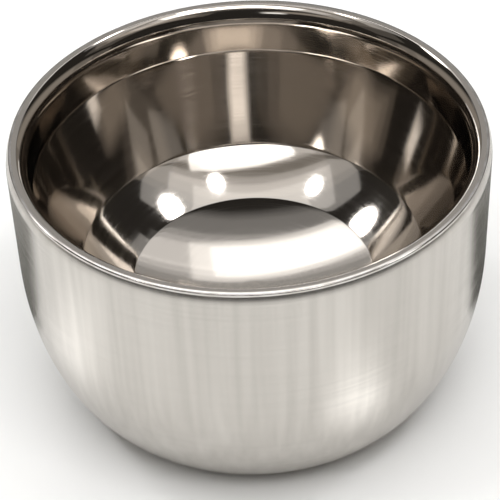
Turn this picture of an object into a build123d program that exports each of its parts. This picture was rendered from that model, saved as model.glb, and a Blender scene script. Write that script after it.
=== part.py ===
from build123d import *
import os
from math import asin, cos, degrees, radians, sin, sqrt

# Double-wall shaving bowl in stainless steel: an outer shell, an inner shell and the weld that joins them.
# Millimetres. The axis is Z. The bowl stands on z = 0 and opens upwards.

# Overall size
height = 62.5               # table to rim
body_radius = 50.0          # outside of the straight side
base_edge_radius = 37.0     # where the belly would meet the table if its corner were sharp

# Outer shell
outer_sheet = 0.5           # sheet thickness
neck_height = 2.2           # rounded shoulder between the side and the rim
neck_step = 0.6             # how far the shoulder brings the side in
side_depth = 26.8           # rim down to the end of the straight side
belly_centre_radius = 29.6  # how far from the axis the centre of the belly's ellipse lies
base_corner = 1.4           # outside radius between belly and base
foot_width = 4.5            # flat ring that touches the table, up to the sharp edge
recess_height = 0.8         # how far the middle of the base is pressed up
recess_run = 0.8            # width of the slope between foot and recess
press_radius = 0.5          # inside radius of both bends of that slope

# Inner shell
inner_sheet = 0.5           # sheet thickness
land_width = 1.7            # flat top of the rim, weld included
lip_width = 2.1             # how far the rounded lip comes in below the land
lip_depth = 4.2             # rim down to the foot of the lip
bore_depth = 6.8            # straight bore below the lip
shoulder_bend = 1.6         # inside radius where the bore meets the wall
wall_lean = 19.4            # degrees from upright that the wall leans in just below the bore
knee_radius = 36.8          # where the wall turns in towards the floor
knee_depth = 31.4           # rim down to that turn
knee_bend = 0.6             # inside radius of that turn
knee_lean = 48.0            # degrees from upright that the bowl leans in just below that turn
floor_radius = 26.4         # edge of the floor disc
floor_depth = 39.0          # rim down to the edge of the floor disc
floor_dish = 4.0            # how much lower the middle of the floor is

# Rim weld
weld_root = 0.1             # gap left between the two sheet edges before welding
weld_width = 0.7            # across the top of the rim
weld_corner = 0.3           # polished outer corner

# Worked out from the sizes above
weld_height = inner_sheet + weld_root
shell_top = height - weld_height
side_end = height - side_depth
rim_radius = body_radius - neck_step
flange_radius = rim_radius - weld_width
land_edge_radius = rim_radius - land_width
bore_radius = land_edge_radius - lip_width


def arc_radius(inward, along):
    """Radius of an arc that leaves a straight side smoothly and ends this far inward and along."""
    return (inward ** 2 + along ** 2) / (2 * inward)


def leaning_in(angle):
    """Direction down the bowl's side where it leans in by this many degrees from upright."""
    return (-sin(radians(angle)), -cos(radians(angle)))


def section(*edges):
    """Flat region in the half section, where X is the radius and Y is the height."""
    return make_face(Curve() + list(edges))


def rounded(region, point, radius):
    """The region with its corner nearest to the point rounded."""
    return fillet(region.vertices().sort_by_distance(Vector(point))[0], radius)


def turned(region):
    """Solid of revolution about the bowl's axis."""
    return revolve(Plane.XZ * region, Axis.Z)


def body_section(inset):
    """All that lies inside the outer shell's outside face, or inside its gap face when inset is its sheet."""
    # The shoulder is an arc that leaves the side smoothly. The sheet's two faces share its centre.
    neck_radius = arc_radius(neck_step, neck_height)
    neck_reach = sqrt((neck_radius - inset) ** 2 - neck_height ** 2)
    neck_foot = (body_radius - inset, shell_top - neck_height)
    neck_top = (body_radius - neck_radius + neck_reach, shell_top)

    # The belly is part of an ellipse, cut off by the base. The two faces share its centre.
    across = body_radius - belly_centre_radius
    share = (base_edge_radius - belly_centre_radius) / across
    down = side_end / sqrt(1 - share ** 2)
    turn = degrees(asin((side_end - inset) / (down - inset)))
    centre = (belly_centre_radius, side_end)
    belly = EllipticalCenterArc(centre, across - inset, down - inset, -turn, arc_size=turn)

    foot_edge = (base_edge_radius - foot_width + inset, inset)
    recess_edge = (foot_edge[0] - recess_run, recess_height + inset)
    recess_middle = (0, recess_edge[1])
    top_middle = (0, shell_top)
    region = section(
        Line(recess_middle, recess_edge),
        Line(recess_edge, foot_edge),
        Line(foot_edge, belly @ 0),
        belly,
        Line(belly @ 1, neck_foot),
        TangentArc(neck_foot, neck_top, tangent=(0, 1)),
        Line(neck_top, top_middle),
        Line(top_middle, recess_middle),
    )
    region = rounded(region, belly @ 0, base_corner - inset)
    region = rounded(region, foot_edge, press_radius + outer_sheet - inset)
    return rounded(region, recess_edge, press_radius + inset)


def make_outer_shell():
    """Drawn wall and base in one sheet, open at the top edge where the weld sits."""
    return turned(body_section(0) - body_section(outer_sheet))


def bowl_section():
    """The space inside the bowl, up to the rim."""
    land_edge = (land_edge_radius, height)
    lip_foot = (bore_radius, height - lip_depth)
    bore_end = (bore_radius, lip_foot[1] - bore_depth)
    knee = (knee_radius, height - knee_depth)
    floor_edge = (floor_radius, height - floor_depth)
    floor_middle = (0, floor_edge[1] - floor_dish)
    top_middle = (0, height)
    region = section(
        Line(top_middle, land_edge),
        TangentArc(lip_foot, land_edge, tangent=(0, 1)),
        Line(lip_foot, bore_end),
        TangentArc(bore_end, knee, tangent=leaning_in(wall_lean)),
        TangentArc(knee, floor_edge, tangent=leaning_in(knee_lean)),
        TangentArc(floor_middle, floor_edge, tangent=(1, 0)),
        Line(floor_middle, top_middle),
    )
    region = rounded(region, bore_end, shoulder_bend)
    return rounded(region, knee, knee_bend)


def make_inner_shell():
    """Drawn bowl with a flat turned-out flange at the rim. Its gap face runs one sheet outside its bowl face."""
    bowl = bowl_section()
    below_rim = Pos(0, height / 2) * Rectangle(body_radius, height, align=(Align.MIN, Align.CENTER))
    sheet = offset(bowl, inner_sheet, kind=Kind.ARC) & below_rim
    flange = Pos(0, height) * Rectangle(flange_radius, inner_sheet, align=(Align.MIN, Align.MAX))
    return turned(sheet + flange - bowl)


def make_rim_weld():
    """Ring of weld metal between the flange's edge and the outer shell's top edge, ground flush."""
    ring = Pos(flange_radius, shell_top) * Rectangle(weld_width, weld_height, align=Align.MIN)
    return turned(rounded(ring, (rim_radius, height), weld_corner))


os.makedirs("parts", exist_ok=True)
export_step(make_outer_shell(), "parts/outer_shell.step")
export_step(make_inner_shell(), "parts/inner_shell.step")
export_step(make_rim_weld(), "parts/rim_weld.step")
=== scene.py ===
import bpy
from math import acos, asin, atan2, cos, hypot, pi, radians, sin, sqrt, tan
from mathutils import Matrix, Vector


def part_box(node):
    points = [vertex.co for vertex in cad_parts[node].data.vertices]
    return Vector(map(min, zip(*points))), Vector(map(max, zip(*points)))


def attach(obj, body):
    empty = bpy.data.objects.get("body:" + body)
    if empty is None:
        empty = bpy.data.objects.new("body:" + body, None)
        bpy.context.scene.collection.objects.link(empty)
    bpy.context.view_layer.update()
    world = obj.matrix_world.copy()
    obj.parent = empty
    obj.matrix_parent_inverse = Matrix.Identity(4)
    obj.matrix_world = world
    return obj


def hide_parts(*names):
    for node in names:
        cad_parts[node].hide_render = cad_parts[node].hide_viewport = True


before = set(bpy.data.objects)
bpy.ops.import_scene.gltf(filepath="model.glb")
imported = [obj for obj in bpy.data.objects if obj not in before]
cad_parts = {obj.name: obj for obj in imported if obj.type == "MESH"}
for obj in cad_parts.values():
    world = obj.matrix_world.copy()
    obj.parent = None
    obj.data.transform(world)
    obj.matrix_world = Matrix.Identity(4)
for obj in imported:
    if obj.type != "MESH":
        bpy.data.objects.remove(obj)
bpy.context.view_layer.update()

# ---------------------------------------------------------------------------------------------------------
# The camera. A long lens looks down into the bowl, as a shop shows it, close enough that the bowl's walls
# draw in towards the base.

FRAME_SIDE = 0.036                  # sensor, square
LENS = 0.1296                       # focal length
LOOK_DOWN = radians(41.02)
CAMERA_ROLL = radians(2.4)
CAMERA_DISTANCE = 7.484             # in rim radii, along the line of sight
AIM_RIGHT = 0.008                   # where the line of sight passes the rim's centre, in rim radii
AIM_BELOW = 0.488


def radius_inside(node):
    """The largest radius about the axis that stays inside a round node's box."""
    low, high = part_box(node)
    return min(-low.x, high.x, -low.y, high.y)


rim_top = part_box("rim_weld")[1].z
rim_radius = radius_inside("rim_weld")
across_view = Vector((
    cos(CAMERA_ROLL), -sin(CAMERA_ROLL) * sin(LOOK_DOWN), -sin(CAMERA_ROLL) * cos(LOOK_DOWN)))
up_view = Vector((sin(CAMERA_ROLL), cos(CAMERA_ROLL) * sin(LOOK_DOWN), cos(CAMERA_ROLL) * cos(LOOK_DOWN)))
along_view = Vector((0, cos(LOOK_DOWN), -sin(LOOK_DOWN)))
eye = Vector((0, 0, rim_top)) + rim_radius * (
    AIM_RIGHT * across_view - AIM_BELOW * up_view - CAMERA_DISTANCE * along_view)
bpy.ops.object.camera_add(location=eye)
camera = bpy.context.object
turn_to_view = Matrix((across_view, up_view, -along_view)).transposed().to_4x4()
camera.matrix_world = Matrix.Translation(eye) @ turn_to_view
camera.data.sensor_width = FRAME_SIDE * 1000
camera.data.lens = LENS * 1000
camera.data.clip_start = 0.01
bpy.context.scene.camera = camera

# ---------------------------------------------------------------------------------------------------------
# The outer shell. One sheet of stainless steel, deep drawn to a straight side and a round belly, with a
# pressed base and a shoulder that brings the top in to the rim. It is brushed on a lathe, so its fine lines
# run round it and smear every highlight up and down.

RING_POINTS = 256                   # points round each ring of the shells
MM = 0.001
body_radius = radius_inside("outer_shell")
shell_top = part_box("outer_shell")[1].z
OUTER_SHEET = 0.5 * MM
NECK_STEP = 0.6 * MM                # how far the shoulder comes in
NECK_HEIGHT = 2.2 * MM
SIDE_DEPTH = 26.8 * MM              # rim down to the start of the belly
BELLY_CENTRE = 29.6 * MM            # how far from the axis the centre of the belly's ellipse lies
BASE_EDGE = 37.0 * MM               # radius where the belly meets the table
FOOT_EDGE = 32.5 * MM               # inner edge of the ring that it stands on
RECESS_EDGE = 31.7 * MM
RECESS_HEIGHT = 0.8 * MM
RECESS_RINGS = (20 * MM, 8 * MM, 1 * MM)
BASE_ROUND = 0.45 * MM              # how far each pressed edge is rounded, from its corner
FOOT_ROUND = 0.4 * MM
RECESS_ROUND = 0.2 * MM


def elliptic_rings(centre, size, start, end, steps):
    """Radius and height of rings along an arc of an ellipse in the half section, between two angles."""
    for step in range(steps + 1):
        angle = start + (end - start) * step / steps
        yield centre[0] + size[0] * cos(angle), centre[1] + size[1] * sin(angle)


def draw_rings(name, rings, closed_middle=True):
    """A thin shell drawn out ring by ring from its first ring, and closed to a point in the middle."""
    bpy.ops.object.select_all(action="DESELECT")
    radius, height = rings[0]
    bpy.ops.mesh.primitive_circle_add(vertices=RING_POINTS, radius=radius, location=(0, 0, height))
    shell = bpy.context.object
    shell.name = name
    bpy.ops.object.mode_set(mode="EDIT")
    bpy.ops.mesh.select_all(action="SELECT")
    for next_radius, next_height in rings[1:]:
        bpy.ops.mesh.extrude_edges_move(TRANSFORM_OT_translate={"value": (0, 0, next_height - height)})
        grow = next_radius / radius
        bpy.ops.transform.resize(value=(grow, grow, 1), center_override=(0, 0, next_height))
        radius, height = next_radius, next_height
    if closed_middle:
        bpy.ops.mesh.merge(type="CENTER")
    bpy.ops.mesh.select_all(action="SELECT")
    bpy.ops.mesh.remove_doubles(threshold=0.001 * MM)
    bpy.ops.mesh.normals_make_consistent(inside=False)
    bpy.ops.object.mode_set(mode="OBJECT")
    bpy.ops.object.transform_apply(location=True, rotation=True, scale=True)
    return shell


def round_ring(shell, radius, height, width, segments):
    """Rounds the sharp ring of edges that lies at this radius and height."""
    bpy.ops.object.mode_set(mode="EDIT")
    bpy.ops.mesh.select_mode(type="EDGE")
    bpy.ops.mesh.select_all(action="DESELECT")
    bpy.ops.object.mode_set(mode="OBJECT")
    places = [v.co for v in shell.data.vertices]
    near = [abs(hypot(p.x, p.y) - radius) + abs(p.z - height) < 0.02 * MM for p in places]
    for edge in shell.data.edges:
        edge.select = near[edge.vertices[0]] and near[edge.vertices[1]]
    bpy.ops.object.mode_set(mode="EDIT")
    bpy.ops.mesh.bevel(offset=width, segments=segments, profile=0.5)
    bpy.ops.object.mode_set(mode="OBJECT")


def give_sheet(shell, thickness):
    """Gives the shell its sheet thickness on the side that the eye can't see."""
    sheet = shell.modifiers.new("sheet", "SOLIDIFY")
    sheet.thickness = thickness
    sheet.offset = -1
    bpy.ops.object.modifier_apply(modifier=sheet.name)
    bpy.ops.object.shade_smooth_by_angle(angle=radians(30))


neck_radius = (NECK_STEP ** 2 + NECK_HEIGHT ** 2) / (2 * NECK_STEP)
neck_centre = (body_radius - neck_radius, shell_top - NECK_HEIGHT)
neck_turn = atan2(NECK_HEIGHT, neck_radius - NECK_STEP)
side_end = rim_top - SIDE_DEPTH
belly_across = body_radius - BELLY_CENTRE
belly_down = side_end / sqrt(1 - ((BASE_EDGE - BELLY_CENTRE) / belly_across) ** 2)
belly_turn = acos((BASE_EDGE - BELLY_CENTRE) / belly_across)
outer_shell = draw_rings("outer_shell_brushed", [
    *elliptic_rings(neck_centre, (neck_radius, neck_radius), neck_turn, 0, 10),
    *elliptic_rings((BELLY_CENTRE, side_end), (belly_across, belly_down), 0, -belly_turn, 48),
    (FOOT_EDGE, 0),
    (RECESS_EDGE, RECESS_HEIGHT),
    *((radius, RECESS_HEIGHT) for radius in RECESS_RINGS),
])
round_ring(outer_shell, BASE_EDGE, 0, BASE_ROUND, 6)
round_ring(outer_shell, FOOT_EDGE, 0, FOOT_ROUND, 4)
round_ring(outer_shell, RECESS_EDGE, RECESS_HEIGHT, RECESS_ROUND, 4)
give_sheet(outer_shell, OUTER_SHEET)


def linear(colour):
    """An sRGB hex colour as the linear values that a shader takes."""
    parts = [int(colour[i:i + 2], 16) / 255 for i in (1, 3, 5)]
    return [p / 12.92 if p <= 0.04045 else ((p + 0.055) / 1.055) ** 2.4 for p in parts] + [1]


def add_node(tree, kind, settings, **sockets):
    """Adds a node, makes its settings, and links or fills the sockets that are named."""
    node = tree.nodes.new(kind)
    for name, value in settings.items():
        setattr(node, name, value)
    for name, value in sockets.items():
        socket = node.inputs[int(name[1:])] if name[1:].isdigit() else node.inputs[name.replace("_", " ")]
        if isinstance(value, bpy.types.NodeSocket):
            tree.links.new(value, socket)
        else:
            socket.default_value = value
    return node


def new_metal(name, colour, roughness, anisotropy):
    """An empty metal: its node tree, its shader and the Object coordinates that its patterns follow."""
    metal = bpy.data.materials.new(name)
    metal.use_nodes = True
    tree = metal.node_tree
    shader = tree.nodes["Principled BSDF"]
    shader.inputs["Metallic"].default_value = 1
    shader.inputs["Base Color"].default_value = linear(colour)
    shader.inputs["Roughness"].default_value = roughness
    shader.inputs["Anisotropic"].default_value = anisotropy
    place = add_node(tree, "ShaderNodeTexCoord", {}).outputs["Object"]
    return metal, tree, shader, place


def radius_of(tree, place):
    """Distance from the bowl's axis, as a socket."""
    flat = add_node(tree, "ShaderNodeVectorMath", {"operation": "MULTIPLY"}, _0=place, _1=(1, 1, 0))
    length = add_node(tree, "ShaderNodeVectorMath", {"operation": "LENGTH"}, _0=flat.outputs[0])
    return length.outputs["Value"]


# Satin-brushed stainless steel. An abrasive belt on the turning shell leaves fine lines round it, so the
# eye sees soft, tall bands of light with a faint grain across them.
LINE_SPACING = 0.35 * MM            # real lines are about 0.05 mm apart, drawn coarser so that they show
STREAK_WIDTH = 2.2 * MM
LINE_CHANGES = 30                   # how often a line changes along its length, per metre
STREAK_CHANGES = 12                 # how often a streak changes from rim to base, per metre
satin, tree, shader, place = new_metal("satin_brushed_stainless", "#C4C0BA", 0.22, 0.9)
radius = radius_of(tree, place)
axes = add_node(tree, "ShaderNodeSeparateXYZ", {}, Vector=place)
run = add_node(tree, "ShaderNodeMath", {"operation": "SUBTRACT"}, _0=axes.outputs["Z"], _1=radius).outputs[0]
lines_at = add_node(tree, "ShaderNodeCombineXYZ", {}, X=axes.outputs["X"], Y=axes.outputs["Y"], Z=run)
lines_at = add_node(tree, "ShaderNodeVectorMath", {"operation": "MULTIPLY"},
                    _0=lines_at.outputs[0], _1=(LINE_CHANGES, LINE_CHANGES, 1 / LINE_SPACING))
lines = add_node(tree, "ShaderNodeTexNoise", {}, Vector=lines_at.outputs[0], Scale=1.0, Detail=3.0,
                 Roughness=0.6)
streaks_at = add_node(tree, "ShaderNodeVectorMath", {"operation": "MULTIPLY"},
                      _0=place, _1=(1 / STREAK_WIDTH, 1 / STREAK_WIDTH, STREAK_CHANGES))
streaks = add_node(tree, "ShaderNodeTexNoise", {}, Vector=streaks_at.outputs[0], Scale=1.0, Detail=2.0)
grain = add_node(tree, "ShaderNodeMapRange", {}, Value=lines.outputs["Fac"],
                 _1=0.3, _2=0.7, _3=0.17, _4=0.27)
tree.links.new(grain.outputs[0], shader.inputs["Roughness"])
streak_tint = add_node(tree, "ShaderNodeMapRange", {}, Value=streaks.outputs["Fac"],
                       _1=0.3, _2=0.7, _3=0.0, _4=1.0)
tint = add_node(tree, "ShaderNodeMix", {"data_type": "RGBA"}, Factor=streak_tint.outputs[0],
                _6=linear("#BDB9B3"), _7=linear("#CAC6C0"))
tree.links.new(tint.outputs[2], shader.inputs["Base Color"])
scratch = add_node(tree, "ShaderNodeBump", {}, Height=lines.outputs["Fac"], Strength=0.12, Distance=0.02 * MM)
tree.links.new(scratch.outputs[0], shader.inputs["Normal"])
round_axis = add_node(tree, "ShaderNodeVectorMath", {"operation": "CROSS_PRODUCT"}, _0=(0, 0, 1), _1=place)
tree.links.new(round_axis.outputs[0], shader.inputs["Tangent"])
shader.inputs["Anisotropic Rotation"].default_value = 0.25
outer_shell.data.materials.append(satin)
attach(outer_shell, "root")
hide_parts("outer_shell")

# ---------------------------------------------------------------------------------------------------------
# The inner shell. A second sheet, drawn to a short straight bore and a round bowl with a dished floor disc.
# Its top is rolled out over a lip to a narrow flat flange, and its bowl side is buffed to a mirror.

INNER_SHEET = 0.5 * MM
LAND_WIDTH = 1.7 * MM
LIP_WIDTH = 2.1 * MM
LIP_DEPTH = 4.2 * MM
BORE_DEPTH = 6.8 * MM
WALL_LEAN = radians(19.4)           # from upright, just below the bore
KNEE_RADIUS = 36.8 * MM
KNEE_DEPTH = 31.4 * MM
KNEE_LEAN = radians(48.0)           # from upright, just below the knee
FLOOR_RADIUS = 26.4 * MM
FLOOR_DEPTH = 39.0 * MM
FLOOR_DISH = 4.0 * MM
POLE = 1 * MM                       # the last ring before the middle of the floor
LAND_ROUND = 0.1 * MM               # how far each edge is rounded, from its corner
BORE_ROUND = 0.27 * MM
KNEE_ROUND = 0.11 * MM
FLOOR_ROUND = 0.12 * MM

flange_radius = radius_inside("inner_shell")
land_edge = rim_radius - LAND_WIDTH
bore_radius = land_edge - LIP_WIDTH
lip_radius = (LIP_WIDTH ** 2 + LIP_DEPTH ** 2) / (2 * LIP_WIDTH)
lip_turn = atan2(LIP_DEPTH, lip_radius - LIP_WIDTH)
bore_end = (bore_radius, rim_top - LIP_DEPTH - BORE_DEPTH)
knee = (KNEE_RADIUS, rim_top - KNEE_DEPTH)
floor_edge = (FLOOR_RADIUS, rim_top - FLOOR_DEPTH)


def leaning_rings(top, bottom, lean, steps):
    """Radius and height of rings along the arc that leaves its top at this lean and ends at the bottom."""
    inward, down = top[0] - bottom[0], top[1] - bottom[1]
    half_turn = atan2(inward, down) - lean
    radius = hypot(inward, down) / (2 * sin(half_turn))
    for step in range(1, steps + 1):
        angle = lean + 2 * half_turn * step / steps
        yield top[0] - radius * (cos(lean) - cos(angle)), top[1] - radius * (sin(angle) - sin(lean))


dish_radius = (FLOOR_RADIUS ** 2 + FLOOR_DISH ** 2) / (2 * FLOOR_DISH)
dish_turn = asin(FLOOR_RADIUS / dish_radius)
dish_centre = rim_top - FLOOR_DEPTH - FLOOR_DISH + dish_radius
inner_shell = draw_rings("inner_shell_polished", [
    (flange_radius, rim_top),
    *elliptic_rings((bore_radius + lip_radius, rim_top - LIP_DEPTH), (lip_radius, lip_radius),
                    pi - lip_turn, pi, 20),
    bore_end,
    *leaning_rings(bore_end, knee, WALL_LEAN, 28),
    *leaning_rings(knee, floor_edge, KNEE_LEAN, 12),
    *list(elliptic_rings((0, dish_centre), (dish_radius, dish_radius),
                         dish_turn - pi / 2, asin(POLE / dish_radius) - pi / 2, 24))[1:],
])
round_ring(inner_shell, land_edge, rim_top, LAND_ROUND, 3)
round_ring(inner_shell, bore_radius, bore_end[1], BORE_ROUND, 4)
round_ring(inner_shell, KNEE_RADIUS, knee[1], KNEE_ROUND, 3)
round_ring(inner_shell, FLOOR_RADIUS, floor_edge[1], FLOOR_ROUND, 3)
give_sheet(inner_shell, INNER_SHEET)

# Mirror-buffed stainless steel. Mops and wax on the turning bowl leave a bright skin that still carries the
# slow waves of the drawing die and a haze of fine rings.
WAVE_LENGTH = 18 * MM
RING_CHANGES = 20                   # how often a fine ring changes along its length, per metre
mirror, tree, shader, place = new_metal("mirror_buffed_stainless", "#CCC5BD", 0.07, 0.3)
radius = radius_of(tree, place)
axes = add_node(tree, "ShaderNodeSeparateXYZ", {}, Vector=place)
run = add_node(tree, "ShaderNodeMath", {"operation": "ADD"}, _0=axes.outputs["Z"], _1=radius).outputs[0]
rings_at = add_node(tree, "ShaderNodeCombineXYZ", {}, X=axes.outputs["X"], Y=axes.outputs["Y"], Z=run)
rings_at = add_node(tree, "ShaderNodeVectorMath", {"operation": "MULTIPLY"},
                    _0=rings_at.outputs[0], _1=(RING_CHANGES, RING_CHANGES, 1 / LINE_SPACING))
rings = add_node(tree, "ShaderNodeTexNoise", {}, Vector=rings_at.outputs[0], Scale=1.0, Detail=3.0)
haze = add_node(tree, "ShaderNodeMapRange", {}, Value=rings.outputs["Fac"],
                _1=0.3, _2=0.7, _3=0.04, _4=0.1)
tree.links.new(haze.outputs[0], shader.inputs["Roughness"])
waves = add_node(tree, "ShaderNodeTexNoise", {}, Vector=place, Scale=1 / WAVE_LENGTH, Detail=1.0)
fine = add_node(tree, "ShaderNodeBump", {}, Height=rings.outputs["Fac"], Strength=0.05, Distance=0.01 * MM)
slow = add_node(tree, "ShaderNodeBump", {}, Height=waves.outputs["Fac"], Normal=fine.outputs[0],
                Strength=0.3, Distance=0.2 * MM)
tree.links.new(slow.outputs[0], shader.inputs["Normal"])
round_axis = add_node(tree, "ShaderNodeVectorMath", {"operation": "CROSS_PRODUCT"}, _0=(0, 0, 1), _1=place)
tree.links.new(round_axis.outputs[0], shader.inputs["Tangent"])
shader.inputs["Anisotropic Rotation"].default_value = 0.25
inner_shell.data.materials.append(mirror)
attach(inner_shell, "root")
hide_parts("inner_shell")

# ---------------------------------------------------------------------------------------------------------
# The rim weld. A ring of weld metal between the flange's edge and the top edge of the outer shell, ground
# flush with the land and polished at its outer corner, where it shows as a thin bright line.

WELD_CORNER = 0.3 * MM
weld_low, weld_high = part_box("rim_weld")[0].z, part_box("rim_weld")[1].z
rim_weld = draw_rings("rim_weld_polished", [
    (flange_radius, weld_low),
    (rim_radius, weld_low),
    *elliptic_rings((rim_radius - WELD_CORNER, weld_high - WELD_CORNER), (WELD_CORNER, WELD_CORNER),
                    0, pi / 2, 6),
    (flange_radius, weld_high),
    (flange_radius, weld_low),
], closed_middle=False)
bpy.ops.object.shade_smooth_by_angle(angle=radians(30))

# Ground and polished weld metal, a little brighter than the sheet. The grinder leaves lines round the rim,
# and the weld pool's ripples still show as faint darker spots along it.
GRINDER_LINES = 0.12 * MM
RIPPLE_LENGTH = 3 * MM
ground, tree, shader, place = new_metal("ground_weld_stainless", "#CFCBC6", 0.1, 0.4)
lines_at = add_node(tree, "ShaderNodeCombineXYZ", {}, X=radius_of(tree, place))
lines = add_node(tree, "ShaderNodeTexNoise", {}, Vector=lines_at.outputs[0], Scale=1 / GRINDER_LINES,
                 Detail=2.0)
polish = add_node(tree, "ShaderNodeMapRange", {}, Value=lines.outputs["Fac"],
                  _1=0.3, _2=0.7, _3=0.08, _4=0.2)
tree.links.new(polish.outputs[0], shader.inputs["Roughness"])
ripples = add_node(tree, "ShaderNodeTexNoise", {}, Vector=place, Scale=1 / RIPPLE_LENGTH, Detail=1.0)
spots = add_node(tree, "ShaderNodeMapRange", {}, Value=ripples.outputs["Fac"],
                 _1=0.35, _2=0.65, _3=0.0, _4=1.0)
tint = add_node(tree, "ShaderNodeMix", {"data_type": "RGBA"}, Factor=spots.outputs[0],
                _6=linear("#C2BDB7"), _7=linear("#D2CECA"))
tree.links.new(tint.outputs[2], shader.inputs["Base Color"])
round_axis = add_node(tree, "ShaderNodeVectorMath", {"operation": "CROSS_PRODUCT"}, _0=(0, 0, 1), _1=place)
tree.links.new(round_axis.outputs[0], shader.inputs["Tangent"])
shader.inputs["Anisotropic Rotation"].default_value = 0.25
rim_weld.data.materials.append(ground)
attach(rim_weld, "root")
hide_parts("rim_weld")

# ---------------------------------------------------------------------------------------------------------
# The studio. A pale floor, soft boxes above and beside the bowl, and a dim warm room round them, which the
# polished steel shows as dark brown.

FLOOR_SIDE = 6.0
FLOOR_CLEARANCE = 0.05 * MM
PAPER_CLOUD = 40 * MM               # faint clouds in the paper's white
bpy.ops.object.select_all(action="DESELECT")
bpy.ops.mesh.primitive_plane_add(size=FLOOR_SIDE, location=(0, 0, -FLOOR_CLEARANCE))
floor = bpy.context.object
floor.name = "studio_floor"
paper = bpy.data.materials.new("matt_white_paper")
paper.use_nodes = True
tree, shader = paper.node_tree, paper.node_tree.nodes["Principled BSDF"]
place = add_node(tree, "ShaderNodeTexCoord", {}).outputs["Object"]
clouds = add_node(tree, "ShaderNodeTexNoise", {}, Vector=place, Scale=1 / PAPER_CLOUD, Detail=2.0)
tint = add_node(tree, "ShaderNodeMix", {"data_type": "RGBA"}, Factor=clouds.outputs["Fac"],
                _6=linear("#F3F3F2"), _7=linear("#F5F5F4"))
tree.links.new(tint.outputs[2], shader.inputs["Base Color"])
shader.inputs["Roughness"].default_value = 0.9
floor.data.materials.append(paper)

# Cards lie on the floor round the bowl. The camera doesn't see them, but the satin side does: a pool of
# light gives it a tall bright band, and a dark card behind each side gives its edge a dark strip.
CARD_LIFT = 0.1 * MM                # above the table


def floor_card(name, azimuth, near, far, width, colour):
    """A card on the floor, from one distance from the axis to another, that shows only in reflections."""
    turn, middle = radians(azimuth), (near + far) / 2
    bpy.ops.object.select_all(action="DESELECT")
    bpy.ops.mesh.primitive_grid_add(x_subdivisions=2, y_subdivisions=2, size=1, rotation=(0, 0, -turn),
                                    location=(middle * sin(turn), middle * cos(turn), CARD_LIFT))
    card = bpy.context.object
    card.name = name
    card.scale = (width, far - near, 1)
    centre = tuple(card.location)
    bpy.ops.object.transform_apply(location=True, rotation=True, scale=True)
    card.visible_camera = card.visible_diffuse = card.visible_shadow = False
    board = bpy.data.materials.new(name + "_board")
    board.use_nodes = True
    shader = board.node_tree.nodes["Principled BSDF"]
    shader.inputs["Base Color"].default_value = linear(colour)
    shader.inputs["Roughness"].default_value = 0.9
    card.data.materials.append(board)
    return board.node_tree, shader, centre


def light_pool(name, azimuth, near, far, width, brightness):
    """A card as pale as the floor, with a glow that fades out towards its edges."""
    tree, shader, centre = floor_card(name, azimuth, near, far, width, "#F4F4F3")
    place = add_node(tree, "ShaderNodeTexCoord", {}).outputs["Object"]
    away = add_node(tree, "ShaderNodeVectorMath", {"operation": "DISTANCE"}, _0=place, _1=centre)
    glow = add_node(tree, "ShaderNodeMapRange", {"interpolation_type": "SMOOTHSTEP"},
                    _0=away.outputs["Value"], _1=0.0, _2=width / 2, _3=brightness, _4=0.0)
    tree.links.new(glow.outputs[0], shader.inputs["Emission Strength"])
    shader.inputs["Emission Color"].default_value = (1, 1, 1, 1)


light_pool("pool_right", 147, 51 * MM, 96 * MM, 46 * MM, 1.1)
light_pool("pool_left", 250, 51 * MM, 111 * MM, 60 * MM, 0.7)
floor_card("dark_card_left", 298, 57 * MM, 115 * MM, 62 * MM, "#6A6A66")
floor_card("dark_card_right", 62, 57 * MM, 115 * MM, 62 * MM, "#50504C")

# Soft boxes, each as many degrees wide and high as it looks from the bowl. Azimuth 180 is behind the camera
# and 90 is to its right. Their brightness is what a mirror would show.
LIGHT_DISTANCE = 1.0
LIGHT_STEP = 0.01                   # between the lights of one box, so that none hides another
bowl_centre = Vector((0, 0, rim_top / 2))


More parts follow.
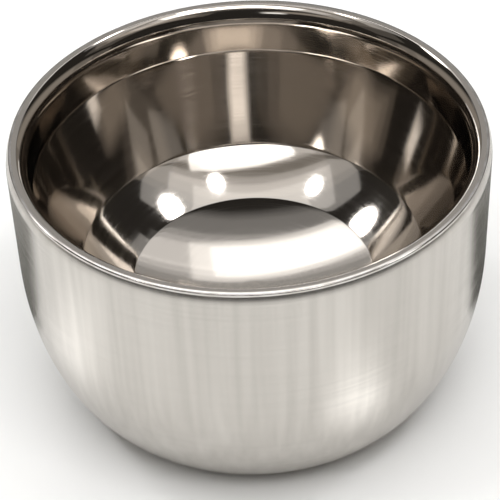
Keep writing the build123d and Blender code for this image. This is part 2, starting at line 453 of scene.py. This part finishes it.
def soft_box(name, azimuth, elevation, width, height, brightness, colour="#FFFFFF", steel_sees=True,
             shape="RECTANGLE"):
    """Three lights one behind another, so that the brightness falls off in steps towards the box's edge."""
    turn, lift = radians(azimuth), radians(elevation)
    away = Vector((sin(turn) * cos(lift), cos(turn) * cos(lift), sin(lift)))
    for step, share in enumerate((0.7, 1.0, 1.3)):
        distance = LIGHT_DISTANCE + LIGHT_STEP * step
        bpy.ops.object.light_add(type="AREA", location=bowl_centre + distance * away)
        lamp = bpy.context.object
        lamp.name = f"{name}_{step}"
        lamp.rotation_euler = away.to_track_quat("Z", "Y").to_euler()
        lamp.data.shape = shape
        lamp.data.size = 2 * distance * tan(radians(share * width / 2))
        lamp.data.size_y = 2 * distance * tan(radians(share * height / 2))
        lamp.data.energy = brightness / 3 * lamp.data.size * lamp.data.size_y * pi
        lamp.data.color = linear(colour)[:3]
        lamp.visible_camera = False
        lamp.visible_glossy = steel_sees


soft_box("back_wide", 0, 52, 64, 13, 0.9)
soft_box("back_hot", 350, 52, 26, 11, 1.8)
soft_box("back_high", 0, 63, 60, 8, 0.25)
soft_box("back_grey", 0, 37, 60, 18, 0.4)
soft_box("over_head", 180, 86, 70, 20, 1.0)
soft_box("back_strip", 352, 11, 15, 18, 2.4)
soft_box("back_glow", 350, 3, 60, 5, 2.4)
soft_box("key_box", 172, 63, 36, 10, 4.5)
soft_box("key_sides", 178, 62, 62, 11, 0.8)
soft_box("lamp_a", 83, 57, 9, 8, 13, shape="ELLIPSE")
soft_box("lamp_b", 133, 70, 5.5, 5.5, 15, shape="ELLIPSE")
soft_box("lamp_c", 257, 62, 5.5, 5.5, 15, shape="ELLIPSE")
soft_box("lamp_d", 300, 42, 10, 9, 13, shape="ELLIPSE")
soft_box("ceiling", 180, 68, 96, 30, 0.26, "#F4ECE2")
soft_box("right_fill", 128, 43, 40, 10, 0.4, "#F4EADE")
soft_box("left_patch", 215, 37, 30, 8, 0.4, "#F4EADE")
soft_box("left_spot", 196, 31, 9, 6, 1.5)
for azimuth in (60, 300):
    soft_box(f"room_{azimuth}", azimuth, 12, 76, 18, 0.32, "#F4EADE")

# One light for the floor alone, which the steel doesn't see.
soft_box("floor_light", 180, 80, 60, 60, 1.85, steel_sees=False)

room = bpy.data.worlds.new("dim_room")
room.use_nodes = True
bpy.context.scene.world = room
air = room.node_tree
seen = add_node(air, "ShaderNodeLightPath", {}).outputs["Is Camera Ray"]
pale = air.nodes["Background"]
pale.inputs["Color"].default_value = linear("#F7F7F6")
dim = add_node(air, "ShaderNodeBackground", {}, Color=linear("#383633"), Strength=0.7)
either = add_node(air, "ShaderNodeMixShader", {}, _0=seen, _1=dim.outputs[0], _2=pale.outputs[0])
air.links.new(either.outputs[0], air.nodes["World Output"].inputs["Surface"])
bpy.context.scene.view_settings.view_transform = "Standard"
